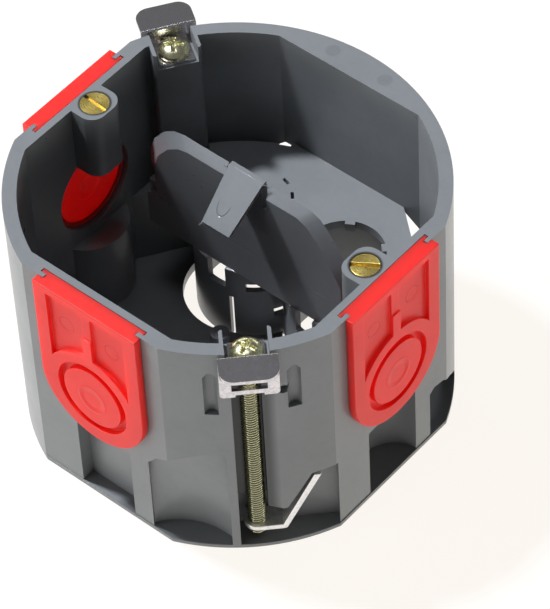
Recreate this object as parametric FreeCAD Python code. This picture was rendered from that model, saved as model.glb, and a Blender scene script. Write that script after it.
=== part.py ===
import FreeCAD, Part
import math
import os

# Single-gang back box for hollow walls, about 76 mm across and 51 mm deep.
# A round moulded box with flats on three sides carries three push-in entry seals,
# a conduit tray, a divider with a cable flap, two device screws and two clamps.
#
# Frame: origin at the centre of the base, +Z up to the open rim.
# The +X, -X and -Y sides are flat and carry the seals. The +Y side stays round outside.
# Lengths are in millimetres and angles in degrees.

V = FreeCAD.Vector

# Box shell
HEIGHT = 51.3
OUTER_R = 38.1
FLAT = OUTER_R - 3.05
WALL = 2.5
FLAT_WALL = 3.0
INNER_R = OUTER_R - WALL
INNER_FLAT = FLAT - FLAT_WALL
FLOOR = 2.0
FLANGE = 0.8
FLANGE_FLAT = FLAT + 0.15
SKIN = 1.3
CRESCENT_WALL = 1.9
CRESCENT_TOP = 2.4

# Entry seals and the slots that hold them
SEAL_HALF = 11.3
SEAL_NECK_HALF = SEAL_HALF - 1.25
SEAL_BEND_Z = 29.7
SEAL_BACK = FLAT - 1.6
SEAL_LIP = FLAT - 0.85
SEAL_FACE = FLAT + 1.55
SEAL_PLAY = 0.12
ENTRY_Z = 28.9
ENTRY_R = 8.85
RING_OUT = 7.65
RING_IN = 6.35
RING_DEEP = 1.2
PANEL_HALF = SEAL_HALF - 2.8
PANEL_RIB = 1.0
PANEL_TOP = HEIGHT - 1.6
PANEL_R = RING_OUT + 2.35
PANEL_DEEP = 0.8
RIB_DEEP = 0.3
RIB_END_Z = HEIGHT - 7.6

# Device screws, 60 mm apart, in bosses that end part-way down
BOSS_SET = 2.05
DEVICE_X = INNER_FLAT - BOSS_SET
BOSS_TIP = DEVICE_X - 3.3
BOSS_HALF = 3.9
BOSS_ROUND = 2.7
BOSS_BOTTOM = HEIGHT - 14.2
DEVICE_HEAD_R = 2.6
DEVICE_HEAD_H = 1.5
DEVICE_SHANK_R = 1.4
DEVICE_TIP_Z = HEIGHT - 17.3
DEVICE_POINT = 2.0
DEVICE_SLOT = 0.7
DEVICE_SLOT_DEEP = 0.8
DEVICE_TURN = {"left": -6.0, "right": 33.0}
RUN = 0.05

# Clamps: angle of each clamp round the box, then sizes along the radius, the tangent and up
CLAMP_ANGLE = {"front": -44.6, "back": 146.0}
AXIS_R = OUTER_R - 2.6
COLUMN_FACE = AXIS_R - 3.0
COLUMN_HALF = 4.35
COLUMN_CHAMFER = 0.35
NOTCH_HALF = 3.7
LEDGE_Z = HEIGHT - 3.6
CHANNEL_BACK = AXIS_R - 1.8
CHANNEL_LEFT = 3.1
CHANNEL_RIGHT = 2.0
CHANNEL_CHEEK_R = OUTER_R - 1.2
CHANNEL_MOUTH = 5.3
FOOT_FACE = COLUMN_FACE - 1.0
FOOT_TOP = 18.6
POCKET_BACK = FOOT_FACE + SKIN
POCKET_LOW = FLANGE
POCKET_STEP_Z = 9.6
POCKET_TOP_Z = 17.2
POCKET_SHOULDER = 9.7
POCKET_END = 14.3
DIMPLE_R = 1.2
DIMPLE_LOW = HEIGHT - 15.3
DIMPLE_TOP = HEIGHT - 4.8
DIMPLE_ANGLES = (-54.35, -33.3)
PEEP_R = 1.0
PEEP_DEEP = 1.7
PEEP_T = 5.6
PEEP_Z = HEIGHT - 10.3

# Clamp screw
CLAMP_HEAD_R = 2.75
CLAMP_HEAD_H = 2.1
CLAMP_CROWN = 0.9
CLAMP_SHANK_R = 1.4
CLAMP_TIP_Z = POCKET_LOW + 0.35
CROSS_ARM = 1.7
CROSS_WIDE = 0.75
CROSS_DEEP = 1.0

# Clip: a folded plate with a window, from which the tab under the screw head is pushed in
SHEET = 0.7
CLIP_BACK_R = OUTER_R + 0.5
CLIP_HALF = 5.0
CLIP_LOW = HEIGHT - 9.3
CLIP_TOP = HEIGHT + 0.3
CLIP_CORNER = 0.8
CLIP_DIP_HALF = 2.4
CLIP_DIP = 0.5
WINDOW_HALF = 3.0
WINDOW_LOW = CLIP_LOW + 1.5
TAB_HALF = 3.1
TAB_TIP_R = COLUMN_FACE + 0.4
LIP_OUT_R = CLIP_BACK_R + 5.6
LIP_CORNER = 2.5
TAB_HOLE_HALF = CLAMP_SHANK_R + 0.3

# Claw: a bent strip with its round end on the screw
CLAW_THICK = 1.1
CLAW_HALF = 2.3
CLAW_Z = 4.0
CLAW_BEND_T = 4.35
CLAW_TIP_T = 10.7
CLAW_TIP_Z = 16.6
CLAW_TIP_HALF = 1.5
CLAW_TIP_R = AXIS_R - 0.7

# Recesses outside, under the seals, with the wall carried round them inside
BAY_R = 6.3
BAY_LOW = FLANGE
BAY_TOP = 17.0
BAY_WALL = 1.4
SQUARE_BAY_HALF = 6.05
SQUARE_BAY_BACK = FLAT - 2.65
SQUARE_BAY_TOP = 17.0

# Scoop beside the front clamp: depths below the round wall, and angles round the box
SCOOP_LEFT = (2.3, -73.8)
SCOOP_RIGHT = (1.3, -51.1)
SCOOP_FOOT = (4.4, -60.0)
SCOOP_HEAD = (1.7, -62.0)
SCOOP_AIM = -62.0
SCOOP_MOUTH = (-7.36, 7.07)
SCOOP_LOW = FLANGE
SCOOP_TOP = 25.9
SCOOP_SIDE_Z = 18.3
SCOOP_MID_Z = 23.9
SCOOP_ROUND = 1.4
SCOOP_REACH = 12.0

# Tray with the two conduit collars
TRAY_TOP = 25.6
TRAY_THICK = 1.8
TRAY_FRONT = 7.0
TRAY_SIDE = 26.2
TRAY_PLAY = 0.1
TRAY_BACK = INNER_FLAT - TRAY_PLAY / 2
TRAY_CORNER = 12.0
TRAY_CORNER_SLOPE = 0.856
TRAY_EDGE_R = OUTER_R - 4.45
TRAY_NOTCH_X = 13.2
APRON_LOW = 18.0
APRON_THICK = 1.4
COLLAR_X = 10.46
COLLAR_Y = 17.34
COLLAR_R = 11.2
COLLAR_BORE_R = 10.1
COLLAR_LOW = 0.3
SLIT_WIDE = 0.8
SLIT_TOP = 11.0
SLIT_ANGLE = -73.0
GAP_DEG = 20.0
GAP_ANGLE = -88.0
GAP_LOW = 13.2
SIGHTS = ((-46.0, 25.0, 14.0), (-27.0, 14.0, 6.9))
SIGHT_TALL = 2.0
OPEN_HOLE_R = 7.4
SCORE_R = 7.0
SCORE_WIDE = 0.6
SCORE_DEG = 13.0
SCORE_ANGLES = (42.5, 72.5, 222.5, 252.5)
BURR = 0.8
BURR_ANGLES = (47.0, 121.0)

# Divider with its cable flap
DIVIDER_THICK = 1.5
DIVIDER_TOP = TRAY_TOP + 18.8
DIVIDER_BEVEL = 2.0
DIVIDER_LEFT = 0.2 - TRAY_SIDE
DIVIDER_RIGHT = TRAY_SIDE - 5.9
TOOTH = 1.3
FLAP_LEFT = -6.4
FLAP_RIGHT = 1.3
FLAP_TAPER = 1.8
FLAP_GAP = 0.8
FLAP_OUT = 7.8
FLAP_RISE = 0.9
FLAP_DROP = 7.9
FLAP_THICK = 1.0
FLAP_ROOT_Z = DIVIDER_TOP - 4.8

# Floor opening, and the open lower part of the +Y side
FLOOR_END_R = 10.67
FLOOR_END_X = 12.5
FLOOR_END_Y = 15.15
COLLAR_GAP = 0.6
PEG = (-7.2, 3.1)
PEG_R = 1.75
PEG_TOP = FLOOR + 2.4
PILLAR_HALF = 1.6
REAR_OPEN_RIGHT = 15.8
REAR_OPEN_LEFT = -19.0
REAR_OPEN_TOP = TRAY_TOP - 1.1
STEP_R = TRAY_EDGE_R - 1.2
STEP_TOP = TRAY_TOP - TRAY_THICK
STEP_FROM = 114.0
STEP_TO = 139.0
ARCH_SIDE_Y = 10.3
ARCH = ((10.3, 11.7), (11.6, 12.6), (14.0, 12.2), (17.0, 10.0), (20.5, 6.4), (23.4, 2.2), (23.8, 0.8))
ARCH_IN_X = 24.0
FAR = 60.0


def box(x0, x1, y0, y1, z0, z1):
    """Block between two corners."""
    return Part.makeBox(x1 - x0, y1 - y0, z1 - z0, V(x0, y0, z0))


def disc(x, y, r, z0, z1):
    """Upright cylinder."""
    return Part.makeCylinder(r, z1 - z0, V(x, y, z0))


def rod(r, start, along, length):
    """Cylinder that starts at a point and runs along a direction."""
    return Part.makeCylinder(r, length, V(*start), V(*along))


def filled(corners, run):
    """Prism on a closed polygon of points, run along a vector."""
    return Part.Face(Part.makePolygon(corners + corners[:1])).extrude(run)


def prism(points, z0, z1):
    """Upright prism on a polygon given as (x, y)."""
    return filled([V(x, y, z0) for x, y in points], V(0, 0, z1 - z0))


def slab(points, x0, x1):
    """Prism along X on a polygon given as (y, z)."""
    return filled([V(x0, y, z) for y, z in points], V(x1 - x0, 0, 0))


def sheet(points, y0, y1):
    """Prism along Y on a polygon given as (x, z)."""
    return filled([V(x, y0, z) for x, z in points], V(0, y1 - y0, 0))


def turned(shape, angle):
    """The shape turned about the box's axis."""
    result = shape.copy()
    result.rotate(V(0, 0, 0), V(0, 0, 1), angle)
    return result


def placed(shape, x, y, angle):
    """The shape turned about Z and then moved to (x, y)."""
    result = turned(shape, angle)
    result.translate(V(x, y, 0))
    return result


def polar(radius, angle, z):
    """Point at a radius and an angle round the box."""
    return V(radius * math.cos(math.radians(angle)), radius * math.sin(math.radians(angle)), z)


def wedge(reach, wide, z0, z1):
    """Upright wedge from the Z axis along +X, a number of degrees wide."""
    half = math.radians(wide / 2)
    far_x = reach * math.cos(half)
    far_y = reach * math.sin(half)
    return prism([(0, 0), (far_x, -far_y), (far_x, far_y)], z0, z1)


def joined(shapes):
    """One solid from several that touch or overlap."""
    return shapes[0].fuse(shapes[1:]).removeSplitter()


def shell_outline(radius, flat, z0, z1):
    """Round outline with flats on the +X, -X and -Y sides."""
    return disc(0, 0, radius, z0, z1).common(box(-flat, flat, -flat, FAR, z0, z1))


def u_plate(half, x0, x1, top):
    """Plate facing +X with straight sides and a half-round lower end."""
    foot = rod(half, (x0, 0, SEAL_BEND_Z), (1, 0, 0), x1 - x0)
    return foot.fuse(box(x0, x1, -half, half, SEAL_BEND_Z, top))


def clamp_column():
    """Hollow column inside the wall, and its wider foot, for a clamp on the +X axis."""
    inner = [
        (COLUMN_FACE, -COLUMN_HALF + COLUMN_CHAMFER),
        (COLUMN_FACE, COLUMN_HALF - COLUMN_CHAMFER),
        (COLUMN_FACE + COLUMN_CHAMFER, COLUMN_HALF),
        (INNER_R + SKIN, COLUMN_HALF),
        (INNER_R + SKIN, -COLUMN_HALF),
        (COLUMN_FACE + COLUMN_CHAMFER, -COLUMN_HALF),
    ]
    foot = box(FOOT_FACE, INNER_R, -COLUMN_HALF, POCKET_END + SKIN, 0, FOOT_TOP)
    return [prism(inner, 0, HEIGHT), foot]


def clamp_space():
    """What is cut away for a clamp on the +X axis: rim notch, channel and claw pocket."""
    notch = box(COLUMN_FACE - 1, FAR, -NOTCH_HALF, NOTCH_HALF, LEDGE_Z, FAR)
    channel = prism(
        [
            (CHANNEL_BACK, -CHANNEL_LEFT),
            (CHANNEL_BACK, CHANNEL_RIGHT),
            (CHANNEL_CHEEK_R, CHANNEL_RIGHT),
            (OUTER_R, CHANNEL_MOUTH),
            (FAR, CHANNEL_MOUTH),
            (FAR, -CHANNEL_LEFT),
        ],
        POCKET_LOW,
        LEDGE_Z,
    )
    pocket = slab(
        [
            (-CHANNEL_LEFT, POCKET_LOW),
            (-CHANNEL_LEFT, POCKET_STEP_Z),
            (CHANNEL_MOUTH, POCKET_STEP_Z),
            (POCKET_SHOULDER, POCKET_TOP_Z),
            (POCKET_END, POCKET_TOP_Z),
            (POCKET_END, POCKET_LOW),
        ],
        POCKET_BACK,
        FAR,
    )
    return [notch, channel, pocket]


def bay(radius, z0, z1):
    """Half-round block about the face of the +X flat."""
    return disc(FLAT, 0, radius, z0, z1)


def scoop_section(middle, grow, z):
    """Outline of the scoop at one height: an arc in the wall, closed outside the box."""
    aim = polar(1, SCOOP_AIM, 0)
    across = V(-aim.y, aim.x, 0)
    left = polar(OUTER_R - SCOOP_LEFT[0], SCOOP_LEFT[1], z) - across * grow
    right = polar(OUTER_R - SCOOP_RIGHT[0], SCOOP_RIGHT[1], z) + across * grow
    mid = polar(OUTER_R - middle[0], middle[1], z) - aim * grow
    left_out = left + aim * SCOOP_REACH
    right_out = right + aim * SCOOP_REACH
    edges = [
        Part.Arc(left, mid, right).toShape(),
        Part.makeLine(right, right_out),
        Part.makeLine(right_out, left_out),
        Part.makeLine(left_out, left),
    ]
    return Part.Wire(edges)


def scoop(grow, z0, z1):
    """Scoop lofted from its hollow foot to its shallow top; grow thickens it for the wall inside."""
    return Part.makeLoft([scoop_section(SCOOP_FOOT, grow, z0), scoop_section(SCOOP_HEAD, grow, z1)], True, True)


def scoop_window():
    """Rounded outline of the scoop's mouth, seen from outside."""
    left, right = SCOOP_MOUTH
    middle = (left + right) / 2
    outline = [
        (left, SCOOP_LOW),
        (left, SCOOP_SIDE_Z),
        (left + 0.25 * (middle - left), SCOOP_SIDE_Z + 0.45 * (SCOOP_MID_Z - SCOOP_SIDE_Z)),
        (middle, SCOOP_MID_Z),
        (right - 2 * SCOOP_ROUND, SCOOP_TOP),
        (right - 0.4 * SCOOP_ROUND, SCOOP_TOP - 0.4 * SCOOP_ROUND),
        (right, SCOOP_TOP - 1.4 * SCOOP_ROUND),
        (right, SCOOP_LOW),
    ]
    return turned(slab(outline, 0, FAR), SCOOP_AIM)


def boss():
    """Boss for a device screw on the +X side, with a rounded nose, and its screw hole."""
    root = INNER_FLAT + 1.0
    turn_x = BOSS_TIP + BOSS_ROUND
    turn_y = BOSS_HALF - BOSS_ROUND
    solids = [
        box(turn_x, root, -BOSS_HALF, BOSS_HALF, BOSS_BOTTOM, HEIGHT),
        box(BOSS_TIP, root, -turn_y, turn_y, BOSS_BOTTOM, HEIGHT),
        disc(turn_x, -turn_y, BOSS_ROUND, BOSS_BOTTOM, HEIGHT),
        disc(turn_x, turn_y, BOSS_ROUND, BOSS_BOTTOM, HEIGHT),
    ]
    bore = disc(DEVICE_X, 0, DEVICE_SHANK_R + RUN, BOSS_BOTTOM - 1, HEIGHT + 1)
    seat = disc(DEVICE_X, 0, DEVICE_HEAD_R + RUN, HEIGHT - DEVICE_HEAD_H, HEIGHT + 1)
    return joined(solids), bore.fuse(seat)


def seal_slot():
    """Slot for a seal on the +X side, and the entry hole behind it."""
    wide = SEAL_HALF + SEAL_PLAY
    rails = box(SEAL_BACK - RUN, SEAL_LIP + RUN, -wide, wide, SEAL_BEND_Z, FAR)
    neck = u_plate(SEAL_NECK_HALF + SEAL_PLAY, SEAL_BACK - RUN, FAR, FAR)
    hole = rod(ENTRY_R, (INNER_FLAT - 2, 0, ENTRY_Z), (1, 0, 0), FLAT - INNER_FLAT + 4)
    return [rails, neck, hole]


def rear_openings():
    """Open lower part of the +Y side, either side of a pillar, and the arch beside it."""
    slope_x = 3.8
    slope_z = 2.6
    sides = ((PILLAR_HALF, REAR_OPEN_RIGHT, slope_x), (-PILLAR_HALF, REAR_OPEN_LEFT, -slope_x))
    start = COLLAR_Y + COLLAR_R
    cuts = []
    for near, far, slope in sides:
        outline = [
            (near, FLOOR),
            (near, REAR_OPEN_TOP),
            (far - slope, REAR_OPEN_TOP),
            (far, REAR_OPEN_TOP - slope_z),
            (far, FLOOR),
        ]
        cuts.append(sheet(outline, start, FAR))
    arch = slab([(ARCH_SIDE_Y, FLANGE)] + list(ARCH), ARCH_IN_X, FAR)
    return cuts + [arch]


def floor_openings():
    """Openings in the floor for the two conduits, wide enough for the collars to stand in."""
    cuts = []
    for side in (-1, 1):
        cuts.append(disc(side * FLOOR_END_X, FLOOR_END_Y, FLOOR_END_R, -1, FLOOR + 1))
        cuts.append(disc(side * COLLAR_X, COLLAR_Y, COLLAR_R + COLLAR_GAP, -1, FLOOR + 1))
    return cuts


def tray_step():
    """Thicker stretch of the round wall, on which the tray's left corner rests."""
    wide = STEP_TO - STEP_FROM
    sector = turned(wedge(FAR, wide, 0, STEP_TOP), (STEP_FROM + STEP_TO) / 2)
    return sector.cut(disc(0, 0, STEP_R, -1, FAR))


def box_body():
    """The moulded box."""
    shell = shell_outline(OUTER_R, FLAT, 0, HEIGHT)
    flange = shell_outline(OUTER_R, FLANGE_FLAT, 0, FLANGE)
    room = disc(0, 0, INNER_R, FLOOR, FAR)
    room = room.common(box(-INNER_FLAT, INNER_FLAT, -INNER_FLAT, INNER_FLAT, FLOOR, FAR))
    crescent = disc(0, 0, OUTER_R - 2, FLOOR, HEIGHT - CRESCENT_TOP)
    crescent = crescent.common(box(-FAR, FAR, INNER_FLAT + CRESCENT_WALL, FAR, FLOOR, FAR))
    body = shell.fuse(flange).cut(room).cut(crescent)

    # Material carried round the recesses, inside the wall
    inside = shell_outline(OUTER_R - 0.4, FLAT - 0.4, 0, HEIGHT)
    added = []
    for angle in CLAMP_ANGLE.values():
        added += [turned(piece, angle) for piece in clamp_column()]
    added += [turned(bay(BAY_R + BAY_WALL, 0, BAY_TOP + BAY_WALL), angle) for angle in (0, 180)]
    pad_half = SQUARE_BAY_HALF + BAY_WALL
    added.append(box(-pad_half, pad_half, -FLAT, -SQUARE_BAY_BACK + BAY_WALL, 0, SQUARE_BAY_TOP + BAY_WALL))
    added.append(scoop(SKIN, 0, SCOOP_TOP + SKIN))
    nose, bore = boss()
    added += [turned(nose, angle) for angle in (0, 180)]
    added.append(box(-PILLAR_HALF, PILLAR_HALF, COLLAR_Y + COLLAR_R + 0.4, OUTER_R, 0, TRAY_TOP - TRAY_THICK))
    added.append(tray_step())
    added = [piece.common(inside) for piece in added]
    body = body.fuse(added)

    # Everything cut away
    cuts = []
    for angle in CLAMP_ANGLE.values():
        cuts += [turned(piece, angle) for piece in clamp_space()]
    cuts += [turned(bay(BAY_R, BAY_LOW, BAY_TOP), angle) for angle in (0, 180)]
    cuts.append(
        box(-SQUARE_BAY_HALF, SQUARE_BAY_HALF, -FAR, -SQUARE_BAY_BACK, BAY_LOW, SQUARE_BAY_TOP)
    )
    cuts.append(scoop(0, SCOOP_LOW, SCOOP_TOP + 0.6).common(scoop_window()))
    for angle in (-90, 0, 180):
        cuts += [turned(piece, angle) for piece in seal_slot()]
    cuts += [turned(bore, angle) for angle in (0, 180)]
    cuts.append(turned(rod(PEEP_R, (OUTER_R - PEEP_DEEP, PEEP_T, PEEP_Z), (1, 0, 0), FAR), CLAMP_ANGLE["front"]))
    for angle in DIMPLE_ANGLES:
        shoulder = DIMPLE_TOP - DIMPLE_R
        cuts.append(turned(disc(OUTER_R, 0, DIMPLE_R, DIMPLE_LOW, shoulder), angle))
        cuts.append(Part.makeCone(DIMPLE_R, DIMPLE_R / 3, DIMPLE_R, polar(OUTER_R, angle, shoulder)))
    cuts += rear_openings() + floor_openings()
    body = body.cut(cuts)
    body = body.fuse(disc(PEG[0], PEG[1], PEG_R, FLOOR - 0.5, PEG_TOP))
    return body.removeSplitter()


def entry_seal():
    """Push-in entry seal for the +X side, with rails along its straight sides."""
    seal = joined(
        [
            box(SEAL_BACK, SEAL_LIP, -SEAL_HALF, SEAL_HALF, SEAL_BEND_Z + SEAL_PLAY, HEIGHT),
            u_plate(SEAL_NECK_HALF, SEAL_BACK, FLAT + 0.1, HEIGHT),
            u_plate(SEAL_HALF, FLAT, SEAL_FACE, HEIGHT),
        ]
    )
    ring = rod(RING_OUT, (SEAL_FACE - RING_DEEP, 0, ENTRY_Z), (1, 0, 0), 5)
    ring = ring.cut(rod(RING_IN, (SEAL_FACE - RING_DEEP - 1, 0, ENTRY_Z), (1, 0, 0), 9))
    clear_of_ring = rod(PANEL_R, (SEAL_FACE - 3, 0, ENTRY_Z), (1, 0, 0), 9)
    panels = []
    for side in (-1, 1):
        near, far = sorted((side * PANEL_RIB, side * PANEL_HALF))
        panel = box(SEAL_FACE - PANEL_DEEP, SEAL_FACE + 1, near, far, ENTRY_Z, PANEL_TOP)
        panels.append(panel.cut(clear_of_ring))
    rib = box(SEAL_FACE - RIB_DEEP, SEAL_FACE + 1, -PANEL_RIB, PANEL_RIB, RIB_END_Z, PANEL_TOP)
    return seal.cut([ring, rib] + panels).removeSplitter()


def device_screw(turn):
    """Slotted screw of the device fixing, flush in its boss."""
    head = disc(0, 0, DEVICE_HEAD_R, HEIGHT - DEVICE_HEAD_H, HEIGHT)
    point = Part.makeCone(0.3, DEVICE_SHANK_R, DEVICE_POINT, V(0, 0, DEVICE_TIP_Z))
    shank = disc(0, 0, DEVICE_SHANK_R, DEVICE_TIP_Z + DEVICE_POINT, HEIGHT - DEVICE_HEAD_H)
    half = DEVICE_SLOT / 2
    slot = box(-5, 5, -half, half, HEIGHT - DEVICE_SLOT_DEEP, HEIGHT + 1)
    return joined([head, shank, point]).cut(turned(slot, turn))


def clamp_screw():
    """Clamp screw on the +X axis with a pan head and a cross recess."""
    seat = LEDGE_Z + SHEET
    top = seat + CLAMP_HEAD_H
    crown_z = top - CLAMP_CROWN
    rim = disc(AXIS_R, 0, CLAMP_HEAD_R, seat, crown_z)
    crown = Part.makeCone(CLAMP_HEAD_R, CLAMP_HEAD_R - 0.8, CLAMP_CROWN, V(AXIS_R, 0, crown_z))
    shank = disc(AXIS_R, 0, CLAMP_SHANK_R, CLAMP_TIP_Z, seat)
    half = CROSS_WIDE / 2
    arms = [
        box(AXIS_R - CROSS_ARM, AXIS_R + CROSS_ARM, -half, half, top - CROSS_DEEP, top + 1),
        box(AXIS_R - half, AXIS_R + half, -CROSS_ARM, CROSS_ARM, top - CROSS_DEEP, top + 1),
    ]
    return joined([rim, crown, shank]).cut(arms)


def clamp_clip():
    """Folded clip on the +X axis, from one sheet: plate, window, pushed-in tab and outward lip."""
    outer = CLIP_BACK_R + SHEET
    plate = box(CLIP_BACK_R, outer, -CLIP_HALF, CLIP_HALF, CLIP_LOW, CLIP_TOP - SHEET / 2)
    low_edges = [
        edge for edge in plate.Edges
        if abs(edge.BoundBox.ZMax - CLIP_LOW) < 0.01 and abs(edge.BoundBox.YMin - edge.BoundBox.YMax) < 0.01
    ]
    plate = plate.makeFillet(CLIP_CORNER, low_edges)
    dip = box(CLIP_BACK_R - 1, outer + 1, -CLIP_DIP_HALF, CLIP_DIP_HALF, CLIP_LOW - 1, CLIP_LOW + CLIP_DIP)
    window = box(CLIP_BACK_R - 1, outer + 1, -WINDOW_HALF, WINDOW_HALF, WINDOW_LOW, LEDGE_Z + 0.01)
    tab = box(TAB_TIP_R, outer - 0.1, -TAB_HALF, TAB_HALF, LEDGE_Z, LEDGE_Z + SHEET)
    lip = box(CLIP_BACK_R, LIP_OUT_R, -CLIP_HALF, CLIP_HALF, CLIP_TOP - SHEET, CLIP_TOP)
    lip_edges = [
        edge for edge in lip.Edges
        if abs(edge.BoundBox.XMin - LIP_OUT_R) < 0.01 and edge.BoundBox.ZLength > SHEET / 2
    ]
    lip = lip.makeFillet(LIP_CORNER, lip_edges)
    clip = plate.cut([dip, window]).fuse([tab, lip]).removeSplitter()
    bend = [
        edge for edge in clip.Edges
        if abs(edge.BoundBox.ZMin - CLIP_TOP) < 0.01 and abs(edge.BoundBox.XMax - CLIP_BACK_R) < 0.01
    ]
    clip = clip.makeFillet(0.6 * SHEET, bend)
    hole = TAB_HOLE_HALF
    return clip.cut(box(AXIS_R - hole, AXIS_R + hole, -hole, hole, LEDGE_Z - 1, LEDGE_Z + SHEET + 0.01))


def clamp_claw():
    """Bent strip on the +X axis: a round end on the screw and an arm rising beside it."""
    low = CLAW_Z
    high = CLAW_Z + CLAW_THICK
    rise = math.atan2(CLAW_TIP_Z - CLAW_Z, CLAW_TIP_T - CLAW_BEND_T)
    wide = CLAW_THICK / math.sin(rise)
    lift = CLAW_THICK * math.tan(rise / 2)
    side = [
        (0, low),
        (CLAW_BEND_T + lift, low),
        (CLAW_TIP_T + wide / 2, CLAW_TIP_Z - 0.3),
        (CLAW_TIP_T - wide / 2, CLAW_TIP_Z),
        (CLAW_BEND_T, high),
        (0, high),
    ]
    strip = slab(side, AXIS_R - CLAW_HALF, AXIS_R + CLAW_HALF)
    plan = [
        (AXIS_R - CLAW_HALF, -1),
        (AXIS_R - CLAW_HALF, CLAW_BEND_T),
        (CLAW_TIP_R - CLAW_TIP_HALF, CLAW_TIP_T + 2),
        (CLAW_TIP_R + CLAW_TIP_HALF, CLAW_TIP_T + 2),
        (AXIS_R + CLAW_HALF, CLAW_BEND_T),
        (AXIS_R + CLAW_HALF, -1),
    ]
    strip = strip.common(prism(plan, 0, FAR))
    eye = disc(AXIS_R, 0, CLAW_HALF, low, high)
    hole = disc(AXIS_R, 0, CLAMP_SHANK_R + RUN, low - 1, high + 1)
    return joined([strip, eye]).cut(hole)


def collar():
    """Collar for a 20 mm conduit, round the Z axis, with the gaps between its gripping fingers."""
    top = TRAY_TOP - TRAY_THICK / 2
    ring = disc(0, 0, COLLAR_R, COLLAR_LOW, top)
    reach = COLLAR_R + 2
    half = SLIT_WIDE / 2
    cuts = [turned(wedge(reach, GAP_DEG, GAP_LOW, APRON_LOW), GAP_ANGLE)]
    cuts.append(turned(box(0, reach, -half, half, -1, SLIT_TOP), SLIT_ANGLE))
    for angle, wide, z in SIGHTS:
        cuts.append(turned(wedge(reach, wide, z - SIGHT_TALL / 2, z + SIGHT_TALL / 2), angle))
    return ring.cut(cuts)


def score_marks():
    """Short slots round a knock-out on the Z axis."""
    ring = disc(0, 0, SCORE_R + SCORE_WIDE / 2, 0, FAR).cut(disc(0, 0, SCORE_R - SCORE_WIDE / 2, 0, FAR))
    marks = []
    for angle in SCORE_ANGLES:
        marks.append(ring.common(turned(wedge(FAR, SCORE_DEG, 0, FAR), angle)))
    return marks


def tray_outline():
    """Outline of the tray's shelf, with its left edge along the back clamp's column."""
    angle = CLAMP_ANGLE["back"]
    side = COLUMN_HALF + TRAY_PLAY
    along = polar(side, angle - 90, 0)
    corner = polar(COLUMN_FACE - TRAY_PLAY, angle, 0) + along
    outside = polar(FAR, angle, 0) + along
    slope = math.tan(math.radians(angle - 90))
    notch_y = math.sqrt(TRAY_EDGE_R ** 2 - TRAY_NOTCH_X ** 2)
    return [
        (-TRAY_SIDE, TRAY_FRONT),
        (TRAY_SIDE, TRAY_FRONT),
        (TRAY_SIDE, TRAY_BACK - (TRAY_SIDE - TRAY_CORNER) * TRAY_CORNER_SLOPE),
        (TRAY_CORNER, TRAY_BACK),
        (-TRAY_NOTCH_X, TRAY_BACK),
        (-TRAY_NOTCH_X, notch_y),
        (outside.x, outside.y),
        (corner.x, corner.y),
        (-TRAY_SIDE, corner.y + (-TRAY_SIDE - corner.x) * slope),
    ]


def conduit_tray():
    """Tray over the conduit space: shelf, apron, two collars and two knock-outs."""
    low = TRAY_TOP - TRAY_THICK
    limit = disc(0, 0, TRAY_EDGE_R, low, TRAY_TOP).fuse(box(-TRAY_NOTCH_X, FAR, 0, FAR, low, TRAY_TOP))
    shelf = prism(tray_outline(), low, TRAY_TOP).common(limit)
    apron = box(-TRAY_SIDE, TRAY_SIDE, TRAY_FRONT, TRAY_FRONT + APRON_THICK, APRON_LOW, TRAY_TOP)
    left = collar()
    right = left.mirror(V(0, 0, 0), V(1, 0, 0))
    solids = [shelf, apron, placed(left, -COLLAR_X, COLLAR_Y, 0), placed(right, COLLAR_X, COLLAR_Y, 0)]
    cuts = [box(-FAR, FAR, -FAR, TRAY_FRONT, APRON_LOW, FAR)]
    for x in (-COLLAR_X, COLLAR_X):
        cuts.append(disc(x, COLLAR_Y, COLLAR_BORE_R, -1, low))
    cuts.append(disc(COLLAR_X, COLLAR_Y, OPEN_HOLE_R, low - 1, TRAY_TOP + 1))
    cuts += [placed(mark, -COLLAR_X, COLLAR_Y, 0) for mark in score_marks()]
    burrs = []
    for angle in BURR_ANGLES:
        burr = box(OPEN_HOLE_R - BURR, OPEN_HOLE_R + 0.5, -0.9, 0.9, low, TRAY_TOP)
        burrs.append(placed(burr, COLLAR_X, COLLAR_Y, angle))
    tray = solids[0].fuse(solids[1:]).cut(cuts)
    return tray.fuse(burrs).removeSplitter()


def divider_outline(inset):
    """Outline of the divider's plate, as (x, z), drawn in from its free edges."""
    top = DIVIDER_TOP - inset
    left = DIVIDER_LEFT + inset
    right = DIVIDER_RIGHT - inset
    slot_left = FLAP_LEFT - FLAP_GAP
    slot_right = FLAP_RIGHT + FLAP_GAP
    return [
        (left + 2.0 - inset, TRAY_TOP),
        (left + 2.0 - inset, TRAY_TOP + 3.0),
        (left, TRAY_TOP + 6.6),
        (left, top - 9.0),
        (left + 1.1, top - 5.6),
        (left + 3.6, top - 2.3),
        (left + 6.2, top - 0.5),
        (left + 8.4, top),
        (slot_left, top),
        (slot_left, FLAP_ROOT_Z),
        (FLAP_LEFT, FLAP_ROOT_Z),
        (FLAP_LEFT, DIVIDER_TOP),
        (FLAP_RIGHT, DIVIDER_TOP),
        (FLAP_RIGHT, FLAP_ROOT_Z),
        (slot_right, FLAP_ROOT_Z),
        (slot_right, top),
        (right - 9.4, top),
        (right - 7.2, top - 1.0),
        (right - 5.0, top - 3.4),
        (right - 2.0, top - 8.2),
        (right, top - 12.0),
        (right, TRAY_TOP),
    ]


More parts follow.
